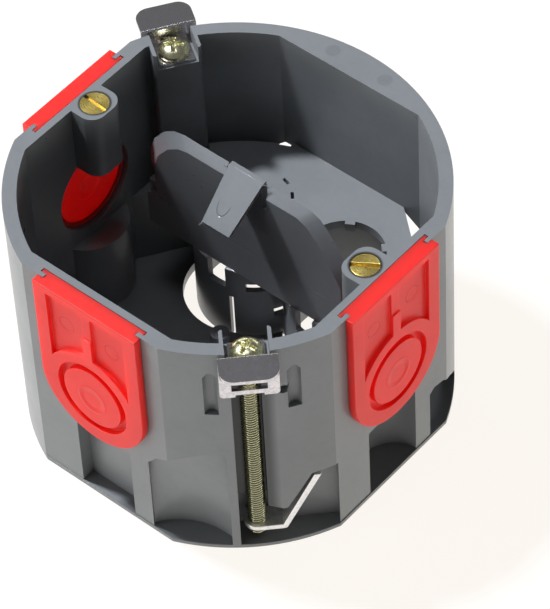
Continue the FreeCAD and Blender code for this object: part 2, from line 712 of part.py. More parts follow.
def cable_flap():
    """Tongue that leans forward and down from the divider's top, narrower at its free end."""
    back = TRAY_FRONT + DIVIDER_THICK
    top = DIVIDER_TOP + FLAP_RISE
    root = back - FLAP_THICK
    end = root - FLAP_OUT
    low = top - FLAP_DROP
    flap = slab(
        [
            (back, top - 1.6),
            (back, top),
            (root, top),
            (end, low),
            (end + 0.7 * FLAP_THICK, low - 0.7 * FLAP_THICK),
            (root + 0.1, top - 1.6),
        ],
        FLAP_LEFT,
        FLAP_RIGHT,
    )
    taper = sheet(
        [
            (FLAP_LEFT, low - 2 * FLAP_THICK),
            (FLAP_RIGHT - FLAP_TAPER, low - FLAP_THICK),
            (FLAP_RIGHT, top),
            (FLAP_LEFT, top),
        ],
        end - FLAP_THICK,
        back,
    )
    return flap.common(taper)


def divider():
    """Divider with a bevelled edge, a cable flap and snap teeth at its ends."""
    def section(inset, y):
        corners = [V(x, y, z) for x, z in divider_outline(inset)]
        return Part.makePolygon(corners + corners[:1])

    front = TRAY_FRONT
    back = TRAY_FRONT + DIVIDER_THICK
    plate = Part.makeLoft([section(DIVIDER_BEVEL, front), section(0, back)], True, True)
    teeth = []
    for z in (TRAY_TOP + 0.1, TRAY_TOP + 2 * TOOTH):
        teeth.append(box(DIVIDER_LEFT + 0.6, DIVIDER_LEFT + 3.0, front, back, z, z + TOOTH))
    return joined([plate, cable_flap()] + teeth)


os.makedirs("parts", exist_ok=True)

nodes = {
    "box_body": box_body(),
    "conduit_tray": conduit_tray(),
    "divider": divider(),
    "entry_seal_lower_left": turned(entry_seal(), -90),
    "entry_seal_lower_right": entry_seal(),
    "entry_seal_upper_left": turned(entry_seal(), 180),
}
for side, sign in (("left", -1), ("right", 1)):
    nodes["device_screw_" + side] = placed(device_screw(DEVICE_TURN[side]), sign * DEVICE_X, 0, 0)
for place, angle in CLAMP_ANGLE.items():
    nodes["clamp_screw_" + place] = turned(clamp_screw(), angle)
    nodes["clamp_clip_" + place] = turned(clamp_clip(), angle)
    nodes["clamp_claw_" + place] = turned(clamp_claw(), angle)

for name, shape in nodes.items():
    shape.exportStep("parts/" + name + ".step")
    print(name, "solids", len(shape.Solids), "valid", shape.isValid(), "volume", round(shape.Volume, 1))
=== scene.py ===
# %% [markdown]
# # A back box for hollow walls
#
# This is the moulded box that holds a switch or a socket in a plasterboard wall. Its solids come in as a
# fixed frame, in metres, with the origin at the centre of the base and +Z up. Their shapes and places are
# right already, so they stay where they are and are only dressed: the script rounds their moulded edges,
# gives each a procedural material, adds the threads and small marks, and sets the table, the light and
# the camera.

import math

import bpy
import numpy as np
from mathutils import Matrix, Vector

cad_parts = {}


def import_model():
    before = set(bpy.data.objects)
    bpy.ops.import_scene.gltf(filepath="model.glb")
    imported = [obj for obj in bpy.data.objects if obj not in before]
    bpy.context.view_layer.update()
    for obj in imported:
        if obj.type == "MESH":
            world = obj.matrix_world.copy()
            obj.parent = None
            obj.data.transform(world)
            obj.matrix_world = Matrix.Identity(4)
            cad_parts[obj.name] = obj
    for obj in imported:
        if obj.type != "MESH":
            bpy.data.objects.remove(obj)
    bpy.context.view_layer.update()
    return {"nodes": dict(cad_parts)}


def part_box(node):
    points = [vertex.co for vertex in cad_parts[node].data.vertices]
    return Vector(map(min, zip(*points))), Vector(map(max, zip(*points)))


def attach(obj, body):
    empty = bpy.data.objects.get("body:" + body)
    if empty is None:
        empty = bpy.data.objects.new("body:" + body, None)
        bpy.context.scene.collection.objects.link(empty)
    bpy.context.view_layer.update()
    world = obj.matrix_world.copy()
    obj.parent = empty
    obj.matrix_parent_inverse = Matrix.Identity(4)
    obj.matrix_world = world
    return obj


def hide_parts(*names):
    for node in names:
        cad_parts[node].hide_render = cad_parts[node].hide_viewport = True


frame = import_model()

MM = 0.001

# %% [markdown]
# ## Shader arithmetic
#
# A material is a tree of nodes. It could be drawn by hand in the shader editor, but a long sum of masks
# is easier to read as a Python expression. So what a node gives is wrapped in a small class, and each
# operator on a wrapped value adds one Math node. The reflected forms, such as __rsub__, make 1 - mask
# work as well as mask - 1.


# %% A value with arithmetic
class Value:
    """A shader socket with arithmetic."""

    def __init__(self, graph, socket):
        self.graph = graph
        self.socket = socket

    def apply(self, operation, *values, clamp=False):
        """One Math node on these values."""
        inputs = dict(enumerate(values))
        return self.graph.node("ShaderNodeMath", inputs, 0, operation=operation, use_clamp=clamp)

    def __add__(self, other):
        return self.apply("ADD", self, other)

    def __radd__(self, other):
        return self.apply("ADD", other, self)

    def __sub__(self, other):
        return self.apply("SUBTRACT", self, other)

    def __rsub__(self, other):
        return self.apply("SUBTRACT", other, self)

    def __mul__(self, other):
        return self.apply("MULTIPLY", self, other)

    def __rmul__(self, other):
        return self.apply("MULTIPLY", other, self)

    def __pow__(self, other):
        return self.apply("POWER", self, other)

    def clamped(self):
        """This value, held between 0 and 1."""
        return self.apply("ADD", self, 0.0, clamp=True)

    def size(self):
        """This value without its sign."""
        return self.apply("ABSOLUTE", self)

    def sine(self):
        """Sine of this value, in radians."""
        return self.apply("SINE", self)

    def step(self, low, high):
        """0 below low, 1 above high, and t * t * (3 - 2 * t) between them, where t runs from 0 to 1."""
        inputs = {"Value": self, "From Min": low, "From Max": high}
        return self.graph.node("ShaderNodeMapRange", inputs, "Result", interpolation_type="SMOOTHSTEP")

    def line(self, width):
        """1 where this distance is zero, falling to 0 at the width on both sides."""
        return 1.0 - self.size().step(0.0, width)


def radius(first, second):
    """Distance from the origin in two coordinates: the root of the sum of their squares."""
    return (first * first + second * second) ** 0.5


# %% [markdown]
# The nodes all come from one method. It sets a node's settings first, because they can change its
# sockets, and then feeds its inputs with plain values or links. The same method serves the world's tree
# further down.


# %% A tree of nodes
class Graph:
    """A node tree that is built from Python values."""

    def __init__(self, tree):
        self.tree = tree

    def feed(self, slot, value):
        """Gives an input a wrapped socket or a plain value."""
        if isinstance(value, Value):
            self.tree.links.new(value.socket, slot)
        elif slot.type == "RGBA":
            slot.default_value = (*value, 1.0)
        else:
            slot.default_value = value

    def node(self, kind, inputs, output, **settings):
        """Makes a node of any kind and returns one of its outputs."""
        node = self.tree.nodes.new(kind)
        for key, value in settings.items():
            setattr(node, key, value)
        for name, value in inputs.items():
            self.feed(node.inputs[name], value)
        return Value(self, node.outputs[output])


# %% [markdown]
# A finish is one material. Its patterns read the object coordinates, which are metres in the frame of the
# solids, so that a noise of 1 mm is 1 mm on every piece and no pattern has a seam.

# %% A finish
NOISE_ROUGH = 0.55
MIX_FACTOR, MIX_FIRST, MIX_SECOND, MIX_RESULT = 0, 6, 7, 2


class Finish(Graph):
    """One material, with its shader and the object coordinates."""

    def __init__(self, name):
        self.material = bpy.data.materials.new(name)
        self.material.use_nodes = True
        super().__init__(self.material.node_tree)
        self.shader = self.tree.nodes["Principled BSDF"]
        self.place = self.node("ShaderNodeTexCoord", {}, "Object")

    def axes(self):
        """The object coordinates as three numbers."""
        across = self.node("ShaderNodeSeparateXYZ", {0: self.place}, "X")
        return [Value(self, output) for output in across.socket.node.outputs]

    def noise(self, size, detail, distortion=0.0):
        """Noise whose features are about this size, in metres."""
        inputs = {"Vector": self.place, "Scale": 1.0 / size, "Detail": detail}
        inputs |= {"Roughness": NOISE_ROUGH, "Distortion": distortion}
        return self.node("ShaderNodeTexNoise", inputs, "Fac")

    def mix(self, factor, first, second):
        """The first colour where the factor is 0, the second where it is 1."""
        inputs = {MIX_FACTOR: factor, MIX_FIRST: first, MIX_SECOND: second}
        return self.node("ShaderNodeMix", inputs, MIX_RESULT, data_type="RGBA")

    def set(self, **values):
        """Sets the shader's own inputs, named with underscores for spaces."""
        for key, value in values.items():
            self.feed(self.shader.inputs[key.replace("_", " ")], value)

    def bump(self, height):
        """Bump from a height in metres."""
        inputs = {"Height": height, "Distance": 1.0, "Strength": 1.0}
        self.set(Normal=self.node("ShaderNodeBump", inputs, "Normal"))


# %% [markdown]
# ## Moulded plastic
#
# The box, the tray and the divider are moulded in a hard grey plastic, and the seals in a softer red one.
# Such plastic is never one flat colour: the melt leaves cloudy flow marks, and the mould a fine skin with
# an uneven shine. A painted image could show that, but it would need seams. Three noises of different
# sizes need none. Light goes into the red plastic and comes out again, which subsurface scattering gives.

# %% Plastic
CLOUD = 9 * MM
FLOW = 1.6 * MM
SKIN = 0.12 * MM
CLOUD_EDGE = (0.35, 0.7)
FLOW_EDGE = (0.45, 0.75)
CLOUD_SHARE = 0.6
SKIN_HIGH = 0.004 * MM
FLOW_HIGH = 0.003 * MM
DARKEST = 0.2
GLOW_REACH = (1.0, 0.08, 0.05)
GLOW_DEPTH = 6 * MM


def moulded_plastic(name, base, shade, rough, shine=0.45, through=0.0, marks=None, dark=None):
    """Plastic that goes from base to shade by 0.6 of its clouds and 0.4 of its flow marks.

    marks gives a bump of its own, and dark a mask under which the colour sinks to a fifth of the base.
    """
    finish = Finish(name)
    cloud = finish.noise(CLOUD, detail=3.0)
    flow = finish.noise(FLOW, detail=5.0, distortion=0.8)
    skin = finish.noise(SKIN, detail=2.0)
    tone = (cloud.step(*CLOUD_EDGE) * CLOUD_SHARE + flow.step(*FLOW_EDGE) * (1 - CLOUD_SHARE)).clamped()
    colour = finish.mix(tone, base, shade)
    if dark:
        # On the box this mask is painted shade in its channels and screw gaps, besides two ejector marks; on
        # the seals it is a fine dark line.
        colour = finish.mix(dark(finish).clamped(), colour, tuple(DARKEST * part for part in base))
    finish.set(Base_Color=colour, Roughness=rough - 0.06 + cloud * 0.10 + flow * 0.04)
    finish.set(Specular_IOR_Level=shine)
    finish.set(Subsurface_Weight=through, Subsurface_Radius=GLOW_REACH, Subsurface_Scale=GLOW_DEPTH)
    height = skin * SKIN_HIGH + flow * FLOW_HIGH
    if marks:
        height = height + marks(finish)
    finish.bump(height)
    return finish.material


# %% [markdown]
# ## Red seals
#
# In the middle of each seal's disc is a shallow dish with a low lip. Above it the pins that pushed the seal
# out of its mould left two faint rings, and a fine dark line runs just below the top edge. They are too
# shallow to change an outline, so they are bump and tone: the distance from a centre goes through a smooth
# step. Two seals face along X and one along Y, so there is a material for each of these directions.

# %% Red seals
REDS = {"base": (0.95, 0.022, 0.016), "shade": (0.90, 0.016, 0.012), "rough": 0.42}
REDS |= {"shine": 0.4, "through": 0.8}
DISC_Z = 28.5 * MM
DISH_EDGE = (1.7 * MM, 2.7 * MM)
DISH_DEEP = 0.30 * MM
LIP_R = 2.9 * MM
LIP_WIDE = 0.4 * MM
LIP_HIGH = 0.08 * MM
PIN_ACROSS = 5.0 * MM
PIN_Z = 43.7 * MM
PIN_R = 1.5 * MM
PIN_WIDE = 0.2 * MM
PIN_HIGH = 0.09 * MM
DARK_LINE_DROP = 0.22 * MM
DARK_LINE_WIDE = 0.16 * MM
DARK_LINE_STRENGTH = 0.75


def seal_marks(axis):
    """Dish and lip of a seal's disc and two pin rings above it, with this axis across its face."""

    def marks(finish):
        places = finish.axes()
        across, up = places[axis], places[2]
        middle = radius(across, up - DISC_Z)
        dish = middle.step(*DISH_EDGE) * DISH_DEEP + (middle - LIP_R).line(LIP_WIDE) * LIP_HIGH
        pin = radius(across.size() - PIN_ACROSS, up - PIN_Z)
        return dish + (pin - PIN_R).line(PIN_WIDE) * PIN_HIGH

    return marks


def dark_line_under_top(finish):
    """Fine line just below the top edge of a seal's face."""
    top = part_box("entry_seal_lower_left")[1][2]
    return (finish.axes()[2] - (top - DARK_LINE_DROP)).line(DARK_LINE_WIDE) * DARK_LINE_STRENGTH


RED = moulded_plastic("red_plastic", **REDS)
RED_FACING_X = moulded_plastic("red_plastic_facing_x", **REDS, marks=seal_marks(1), dark=dark_line_under_top)
RED_FACING_Y = moulded_plastic("red_plastic_facing_y", **REDS, marks=seal_marks(0), dark=dark_line_under_top)
print("red plastics:", RED.name, RED_FACING_X.name, RED_FACING_Y.name)

# %% [markdown]
# ## Grey box
#
# The channel beside each clamp screw is hollowed on the real box and lies in deep shade. Its solid has a
# flat panel there, so that shade is painted into the material's colour instead. The solid has no gap round
# the head of each device screw, so a thin ring of painted shade stands for the shade in that gap, and two
# ejector marks on the rim are darkened too. Masks painted by hand would slip if a size changed, so the masks
# of the screws are measured from the boxes of their solids.

# %% Painted shade and ejector marks of the box
GREYS = {"base": (0.207, 0.219, 0.226), "shade": (0.184, 0.195, 0.202), "rough": 0.29}
DEVICE_HEAD_R = 2.6 * MM
DEVICE_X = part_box("device_screw_right")[1][0] - DEVICE_HEAD_R
SCREW_GAP_SHADE = 0.4 * MM
RIM_BAND = (0.3 * MM, 0.1 * MM)
RIM_MARK_X = 5.8 * MM
RIM_MARK_Y = 35.0 * MM
RIM_MARK_EDGE = (1.25 * MM, 1.45 * MM)
RIM_MARK_DARK = 0.15
CHANNEL_WALL = (-3.2 * MM, -3.05 * MM)
CHANNEL_FADE = (2.4 * MM, 4.9 * MM)
CHANNEL_FOOT = (0.8 * MM, 0.9 * MM)
CHANNEL_DROP = (3.8 * MM, 3.5 * MM)
CHANNEL_MOUTH = (-2.2 * MM, -2.0 * MM)


def clamp_channel_shade(end, across, out, up):
    """Painted shade in the channel of one clamp screw: a smooth step at each of its sides, multiplied.

    Places are measured from the screw's axis: ahead is away from the middle of the box, and aside is
    across that. The shade fades towards the shallow side, and ends at the foot and a little below the
    screw's head.
    """
    low, high = (Vector(corner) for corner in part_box(f"clamp_screw_{end}"))
    axis = ((low + high) / 2).xy
    direction = axis.normalized()
    ahead = across * direction.x + out * direction.y - axis.length
    aside = out * direction.x - across * direction.y
    # Painted shade: the colour sinks in the channel, where the real hollow lies in shade.
    width = aside.step(*CHANNEL_WALL) * (1.0 - aside.step(*CHANNEL_FADE))
    level = up.step(*CHANNEL_FOOT) * (1.0 - up.step(*(high.z - drop for drop in CHANNEL_DROP)))
    return width * level * ahead.step(*CHANNEL_MOUTH)


def ejector_marks_and_painted_shade(finish):
    """Darker places of the box: two ejector marks on the rim, and painted shade in the gaps round the two
    device screws and in each clamp screw's channel.
    """
    across, out, up = finish.axes()
    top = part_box("box_body")[1][2]
    on_rim = up.step(*(top - drop for drop in RIM_BAND))
    mark = 1.0 - radius(across.size() - RIM_MARK_X, out - RIM_MARK_Y).step(*RIM_MARK_EDGE)
    # Painted shade: a thin dark ring round each device screw's head, standing for the shade in the gap
    # there.
    screw_gap_shade = (radius(across.size() - DEVICE_X, out) - DEVICE_HEAD_R - SCREW_GAP_SHADE / 3).line(SCREW_GAP_SHADE)
    channel_shade = clamp_channel_shade("front", across, out, up) + clamp_channel_shade("back", across, out, up)
    return (mark * RIM_MARK_DARK + screw_gap_shade) * on_rim + channel_shade


# %% [markdown]
# The divider has a mark too: a tool pressed a shallow U into the front of its cable flap. It is the lower
# half of an ellipse, so the coordinates are stretched until that ellipse is a circle.

# %% Mark on the flap
TOOL_X = -3.7 * MM
TOOL_Z = 40.6 * MM
TOOL_HALF_WIDE = 1.25 * MM
TOOL_HALF_TALL = 1.5 * MM
TOOL_LINE = 0.10 * MM
TOOL_DEEP = 0.08 * MM
TOOL_TOP = (40.5 * MM, 40.8 * MM)
FLAP_BACK = (4.5 * MM, 5.0 * MM)


def flap_mark(finish):
    """Shallow U on the front of the flap: the lower half of an ellipse."""
    across, out, up = finish.axes()
    loop = radius((across - TOOL_X) * (MM / TOOL_HALF_WIDE), (up - TOOL_Z) * (MM / TOOL_HALF_TALL)) - MM
    low = 1.0 - up.step(*TOOL_TOP)
    front = 1.0 - out.step(*FLAP_BACK)
    return loop.line(TOOL_LINE) * low * front * -TOOL_DEEP


GREY = moulded_plastic("grey_plastic", **GREYS)
# The box's colour carries painted shade in the clamp channels and round the device screws, besides two
# ejector marks.
GREY_BOX = moulded_plastic("grey_plastic_box", **GREYS, dark=ejector_marks_and_painted_shade)
GREY_FLAP = moulded_plastic("grey_plastic_flap", **GREYS, marks=flap_mark)
print("grey plastics:", GREY.name, GREY_BOX.name, GREY_FLAP.name)

# %% [markdown]
# ## Plated metals
#
# The brass screws were turned, which left fine rings on their heads. The clips are bright sheet that was
# rolled and tumbled, which left small dents, and the claws have a duller white zinc. Each could have a
# node tree of its own, but they differ in little more than their marks. So one function varies the colour
# and the roughness by the same stains, and a metal with marks of its own adds them as a bump.

# %% Metals
STAIN = 0.7 * MM
GRAIN = 0.08 * MM
STAIN_EDGE = (0.38, 0.64)
GRAIN_HIGH = 0.003 * MM
STAIN_HIGH = 0.002 * MM
RING_PITCH = 0.42 * MM
RING_HIGH = 0.010 * MM
RING_WANDER = 0.5 * MM
RING_SWAY = 5.0
DENT = 0.35 * MM
DENT_EDGE = (0.50, 0.62)
DENT_HIGH = 0.003 * MM


def plated_metal(name, base, shade, rough, tone=None, marks=None):
    """Metal that goes from base to shade by its stains or by a tone of its own, with marks of its own."""
    finish = Finish(name)
    stain = finish.noise(STAIN, detail=5.0, distortion=0.6)
    grain = finish.noise(GRAIN, detail=3.0)
    colour = finish.mix(tone(finish) if tone else stain.step(*STAIN_EDGE), base, shade)
    finish.set(Base_Color=colour, Metallic=1.0, Roughness=rough - 0.08 + stain * 0.20 + grain * 0.04)
    height = grain * GRAIN_HIGH + stain * STAIN_HIGH
    if marks:
        height = height + marks(finish)
    finish.bump(height)
    return finish.material


def turning_rings(finish):
    """Rings on the heads of the device screws: the sine of the distance from the axis, swayed by noise."""
    across, out, _ = finish.axes()
    ring = radius(across.size() - DEVICE_X, out)
    wander = finish.noise(RING_WANDER, detail=3.0)
    return (ring * (2 * math.pi / RING_PITCH) + wander * RING_SWAY).sine() * RING_HIGH


def rolling_dents(finish):
    """Small dents: a noise with a smooth step near the middle of its range."""
    return finish.noise(DENT, detail=2.0, distortion=1.5).step(*DENT_EDGE) * DENT_HIGH


BRASS = plated_metal("brass", (0.82, 0.64, 0.20), (0.62, 0.46, 0.12), 0.26, marks=turning_rings)
STEEL = plated_metal("bright_steel", (0.70, 0.67, 0.68), (0.56, 0.54, 0.57), 0.16, marks=rolling_dents)
CLAW = plated_metal("white_zinc", (0.92, 0.91, 0.90), (0.80, 0.79, 0.80), 0.42)
print("metals:", BRASS.name, STEEL.name, CLAW.name)

# %% [markdown]
# ## Rounded edges on the solids
#
# Moulded and stamped edges are never quite sharp, and each of them catches a thin bright line. Rounding
# them all in the solids would cost thousands of facets, so modifiers do it. Weld joins the loose
# triangles, Decimate joins the facets of a flat face, Bevel rounds every edge that turns by more than 20
# degrees, and Weighted Normal lets the large faces rule the shading.

# %% Dress the solids
MERGE = 0.002 * MM
FLAT_TURN = math.radians(0.3)
EDGE_TURN = math.radians(20)
DRESS = {
    "box_body": (GREY_BOX, 0.22),
    "conduit_tray": (GREY, 0.15),
    "divider": (GREY_FLAP, 0.2),
    "entry_seal_lower_left": (RED_FACING_Y, 0.14),
    "entry_seal_lower_right": (RED_FACING_X, 0.14),
    "entry_seal_upper_left": (RED_FACING_X, 0.14),
    "device_screw_left": (BRASS, 0.2),
    "device_screw_right": (BRASS, 0.2),
    "clamp_clip_front": (STEEL, 0.2),
    "clamp_clip_back": (STEEL, 0.2),
    "clamp_claw_front": (CLAW, 0.15),
    "clamp_claw_back": (CLAW, 0.15),
}


def soften(node, material, radius_mm):
    """Gives a solid its material and rounds its edges with modifiers."""
    thing = frame["nodes"][node]
    thing.data.materials.clear()
    thing.data.materials.append(material)
    weld = thing.modifiers.new("weld", "WELD")
    weld.merge_threshold = MERGE
    flat = thing.modifiers.new("flat", "DECIMATE")
    flat.decimate_type = "DISSOLVE"
    flat.angle_limit = FLAT_TURN
    bevel = thing.modifiers.new("bevel", "BEVEL")
    bevel.width = radius_mm * MM
    bevel.segments = 2
    bevel.limit_method = "ANGLE"
    bevel.angle_limit = EDGE_TURN
    bevel.use_clamp_overlap = True
    shading = thing.modifiers.new("shading", "WEIGHTED_NORMAL")
    shading.weight = 100
    shading.keep_sharp = True
    for polygon in thing.data.polygons:
        polygon.use_smooth = True
    print(f"{node}: {material.name}, edges rounded by {radius_mm} mm")


for node, (material, radius_mm) in DRESS.items():
    soften(node, material, radius_mm)


# %% [markdown]
# ## Surfaces from rings
#
# Every new piece is a grid of points: rings that follow one another along the piece, each ring joined to
# the next by faces. The faces could be made one by one in a loop, but whole arrays are shorter and
# faster: the grid of point numbers is shifted by one along each of its directions, and the shifted grids
# give the four corners.


# %% A mesh from rings
def surface(name, points, material, looped=False):
    """Mesh from rings of points, lowest ring first: a loop of rings, or with a flat cap at each end."""
    rings, around = points.shape[:2]
    index = np.arange(rings * around).reshape(rings, around)
    if looped:
        index = np.vstack([index, index[:1]])
    turned = np.roll(index, -1, axis=1)
    faces = np.stack([index[:-1], turned[:-1], turned[1:], index[1:]], axis=-1).reshape(-1, 4).tolist()
    if not looped:
        faces += [index[0][::-1].tolist(), index[-1].tolist()]
    mesh = bpy.data.meshes.new(name)
    mesh.from_pydata(points.reshape(-1, 3).tolist(), [], faces)
    mesh.polygons.foreach_set("use_smooth", [True] * len(faces))
    mesh.materials.append(material)
    thing = bpy.data.objects.new(name, mesh)
    bpy.context.collection.objects.link(thing)
    print(f"{name}: {len(faces)} faces")
    return thing


# %% [markdown]
# ## Clamp screws
#
# Each clamp screw hangs in its clip by a pan head, and its rolled thread runs down through the claw. The
# solid is a plain pin. Its thread could be a bump, but then its outline would stay straight, or a ridge
# swept along a helix, but that leaves a seam with the shank. Here the whole screw is one closed surface
# over height and angle, whose radius rises and falls with the turn of the helix, and the cross recess is
# pressed into its crown.

# %% Thread and head
THREAD_CREST = 1.60 * MM
THREAD_ROOT = 1.22 * MM
THREAD_PITCH = 0.6 * MM
THREAD_TIP_LIFT = 0.6 * MM
THREAD_TIP_SHARE = 0.55
HEAD_HIGH = 2.1 * MM
HEAD_CHAMFER = 0.15 * MM
HEAD_CROWN = 1.15 * MM
CROWN_RINGS = 56
CROWN_REACH = (0.999, 0.02)
CROWN_POWER = 2.6


def thread_radius(height, angle, tip):
    """Radius of the thread: from root to crest by 1.5 r - 0.2, held between 0 and 1.

    r is 1 on the helix and 0 midway between its turns. The helix climbs one pitch a turn, and at the
    tip the radius is down to 0.55 of itself.
    """
    turn = (height[:, None] / THREAD_PITCH - angle[None, :] / (2 * math.pi)) % 1.0
    ridge = 1 - np.abs(2 * turn - 1)
    full = THREAD_ROOT + (THREAD_CREST - THREAD_ROOT) * np.clip(1.5 * ridge - 0.2, 0, 1)
    return full * np.clip(THREAD_TIP_SHARE + (height - tip) / THREAD_PITCH * 0.5, 0, 1)[:, None]


def head_outline(head_r):
    """Radius and height of the head above its seat: chamfer, side, and a crown.

    The crown falls from the middle by the power 2.6 of the distance.
    """
    chamfer = [(head_r - HEAD_CHAMFER, 0), (head_r, HEAD_CHAMFER)]
    side = [(THREAD_ROOT, 0), *chamfer, (head_r, HEAD_HIGH - HEAD_CROWN)]
    reach = np.linspace(*CROWN_REACH, CROWN_RINGS)
    crown = np.column_stack([head_r * reach, HEAD_HIGH - HEAD_CROWN * reach ** CROWN_POWER])
    return np.vstack([side, crown])


# %% [markdown]
# The recess is a cross whose four arms get shallower outwards. Four boxes could be cut out of the head,
# but a place lies in an arm when its smaller coordinate is under the arm's half width and its larger one
# under the arm's reach. So one comparison of each makes all four.

# %% Cross recess
CROSS_ARM = 1.75 * MM
CROSS_HALF = 0.40 * MM
CROSS_DEEP = 1.05 * MM
CROSS_WALL = 0.16 * MM
CROSS_RISE = 0.45


def recess(x, y):
    """Depth of the cross on the crown: it grows over the wall's width and is 0.45 less at an arm's end."""
    along = np.maximum(np.abs(x), np.abs(y))
    across = np.minimum(np.abs(x), np.abs(y))
    inside = np.minimum(CROSS_HALF - across, CROSS_ARM - along)
    return CROSS_DEEP * np.clip(inside / CROSS_WALL, 0, 1) * (1 - CROSS_RISE * along / CROSS_ARM)


# %% [markdown]
# The screws are steel with a yellow zinc plating, pale on the head. Along the thread the colour carries a
# painted highlight, pale, on the crests and painted shade, olive, between the threads. A noise wouldn't
# follow the thread, so the tone is the distance from the screw's axis.

# %% Yellow zinc
OLIVE_GROOVE_SHADE = (0.10, 0.11, 0.05)
PALE_ZINC_AND_HIGHLIGHT = (0.74, 0.72, 0.46)
SEAT_BLEND = 0.2 * MM


def yellow_zinc(end, x, y, seat):
    """Yellow zinc of a screw with this axis and head seat: pale on the head, with a painted highlight on the
    crests and painted shade between the threads.
    """

    def tone(finish):
        across, out, up = finish.axes()
        # Painted highlight on the thread's crests and painted shade in its grooves, by the distance from the
        # axis.
        crest = radius(across - x, out - y).step(THREAD_ROOT, THREAD_CREST)
        return (crest + up.step(seat - SEAT_BLEND, seat)).clamped()

    return plated_metal(f"yellow_zinc_{end}", OLIVE_GROOVE_SHADE, PALE_ZINC_AND_HIGHLIGHT, 0.22, tone)


# %% [markdown]
# The rings of the thread and of the head are stacked into one grid, and the cross is taken off the height
# of the crown's rings alone.

# %% Both clamp screws
AROUND = 96
RINGS_PER_PITCH = 6
CROSS_TURNS_DEG = {"front": 12.0, "back": 40.0}


def clamp_screw(end, turn_deg):
    """Threaded screw in place of the plain one at that end, with its cross at this angle."""
    node = f"clamp_screw_{end}"
    low, high = (np.array(corner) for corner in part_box(node))
    x, y = (low + high)[:2] / 2
    tip = low[2] + THREAD_TIP_LIFT
    seat = high[2] - HEAD_HIGH
    angle = np.linspace(0, 2 * math.pi, AROUND, endpoint=False)
    height = np.arange(tip, seat, THREAD_PITCH / RINGS_PER_PITCH)
    head = head_outline((high - low)[0] / 2)
    reach = np.vstack([thread_radius(height, angle, tip), np.repeat(head[:, :1], AROUND, axis=1)])
    level = np.concatenate([height, seat + head[:, 1]])[:, None]
    beside, behind = reach * np.cos(angle), reach * np.sin(angle)
    tilt = math.radians(turn_deg)
    across = beside * math.cos(tilt) + behind * math.sin(tilt)
    along = behind * math.cos(tilt) - beside * math.sin(tilt)
    pressed = recess(across, along)
    pressed[:-CROWN_RINGS] = 0
    points = np.stack([x + beside, y + behind, level - pressed], axis=-1)
    screw = surface(f"{node}_threaded", points, yellow_zinc(end, x, y, seat))
    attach(screw, f"{end}_clamp_screw")
    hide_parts(node)


for end, turn_deg in CROSS_TURNS_DEG.items():
    clamp_screw(end, turn_deg)


# %% [markdown]
# ## Beads of the seals
#
# Inside the box each seal shows a round bead, just within its opening in the wall. Blender's torus would
# do for a bead, but the burrs below need a tube on a free path, so one function carries a circle of
# points along any path. The two directions across the path come from cross products with a fixed
# direction that no path here follows.

# %% A tube along a path
TUBE_SIDES = 14
TUBE_ASIDE = (0.31, 0.52, 0.79)


def tube(name, path, thick, material, looped=False):
    """Round tube along a path: each point of the path plus a circle across it, with a radius of its own."""
    ahead = np.gradient(path, axis=0)
    if looped:
        ahead = np.roll(path, -1, axis=0) - np.roll(path, 1, axis=0)
    ahead /= np.linalg.norm(ahead, axis=1)[:, None]
    side = np.cross(ahead, TUBE_ASIDE)
    side /= np.linalg.norm(side, axis=1)[:, None]
    other = np.cross(ahead, side)
    angle = np.linspace(0, 2 * math.pi, TUBE_SIDES, endpoint=False)[None, :, None]
    ring = side[:, None, :] * np.cos(angle) + other[:, None, :] * np.sin(angle)
    return surface(name, path[:, None, :] + thick[:, None, None] * ring, material, looped)


# %% [markdown]
# A bead is such a tube along a circle, with its centre line just proud of the seal's inner face, so that
# its outer half shows and the rest is sunk in the seal.

# %% Beads
ENTRY_Z = 28.9 * MM
BEAD_R = 8.3 * MM
BEAD_THICK = 0.45 * MM
BEAD_PROUD = 0.15 * MM
BEAD_POINTS = 120
SEALS_FACE = {"lower_left": (1, -1), "lower_right": (0, 1), "upper_left": (0, -1)}


def bead(seal, axis, side):
    """Bead on the inner face of a seal that faces this side of this axis: a circle round its entry."""
    node = f"entry_seal_{seal}"
    low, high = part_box(node)
    back = low[axis] if side > 0 else high[axis]
    angle = np.linspace(0, 2 * math.pi, BEAD_POINTS, endpoint=False)
    path = np.zeros((BEAD_POINTS, 3))
    path[:, axis] = back - side * BEAD_PROUD
    path[:, 1 - axis] = BEAD_R * np.cos(angle)
    path[:, 2] = ENTRY_Z + BEAD_R * np.sin(angle)
    ring = tube(f"{node}_bead", path, np.full(BEAD_POINTS, BEAD_THICK), RED, looped=True)
    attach(ring, "box")


for seal, (axis, side) in SEALS_FACE.items():
    bead(seal, axis, side)


# %% [markdown]
# ## Burrs of the flap
#
# The cable flap was cut free with a blade, which left three small curls of plastic at its corners. They
# stand out from the outline, so a bump can't show them. Each starts at a corner, in millimetres, and runs
# a short way ahead while three slow waves bend it.

# %% Burrs
BURR_THICK = 0.17 * MM
BURR_ROOT_SHARE = 1.1
BURR_SWAY = 0.22 * MM
BURR_POINTS = 12
BURRS = {
    "burr_low": ((-6.3, -0.2, 37.4), (-0.3, -0.2, -0.9), 0.4),
    "burr_left": ((-6.4, 7.2, 45.0), (-1.0, 0.1, -0.5), 2.0),
    "burr_right": ((1.3, 7.3, 45.1), (0.9, 0.1, -0.2), 3.6),
}


def burr(name, start, ahead, curl):
    """Tapered curl: start + t * ahead + sway * waves of t, with t from 0 to 1. curl shifts the waves."""
    along = np.linspace(0, 1, BURR_POINTS)[:, None]
    bend = np.hstack([np.sin(5 * along + curl), np.cos(4 * along + curl), np.sin(3 * along + 2 * curl)])
    path = np.array(start) * MM + along * np.array(ahead) * MM + BURR_SWAY * (bend - bend[0])
    curled = tube(name, path, BURR_THICK * (BURR_ROOT_SHARE - along[:, 0]), GREY)
    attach(curled, "box")


for name, (start, ahead, curl) in BURRS.items():
    burr(name, start, ahead, curl)


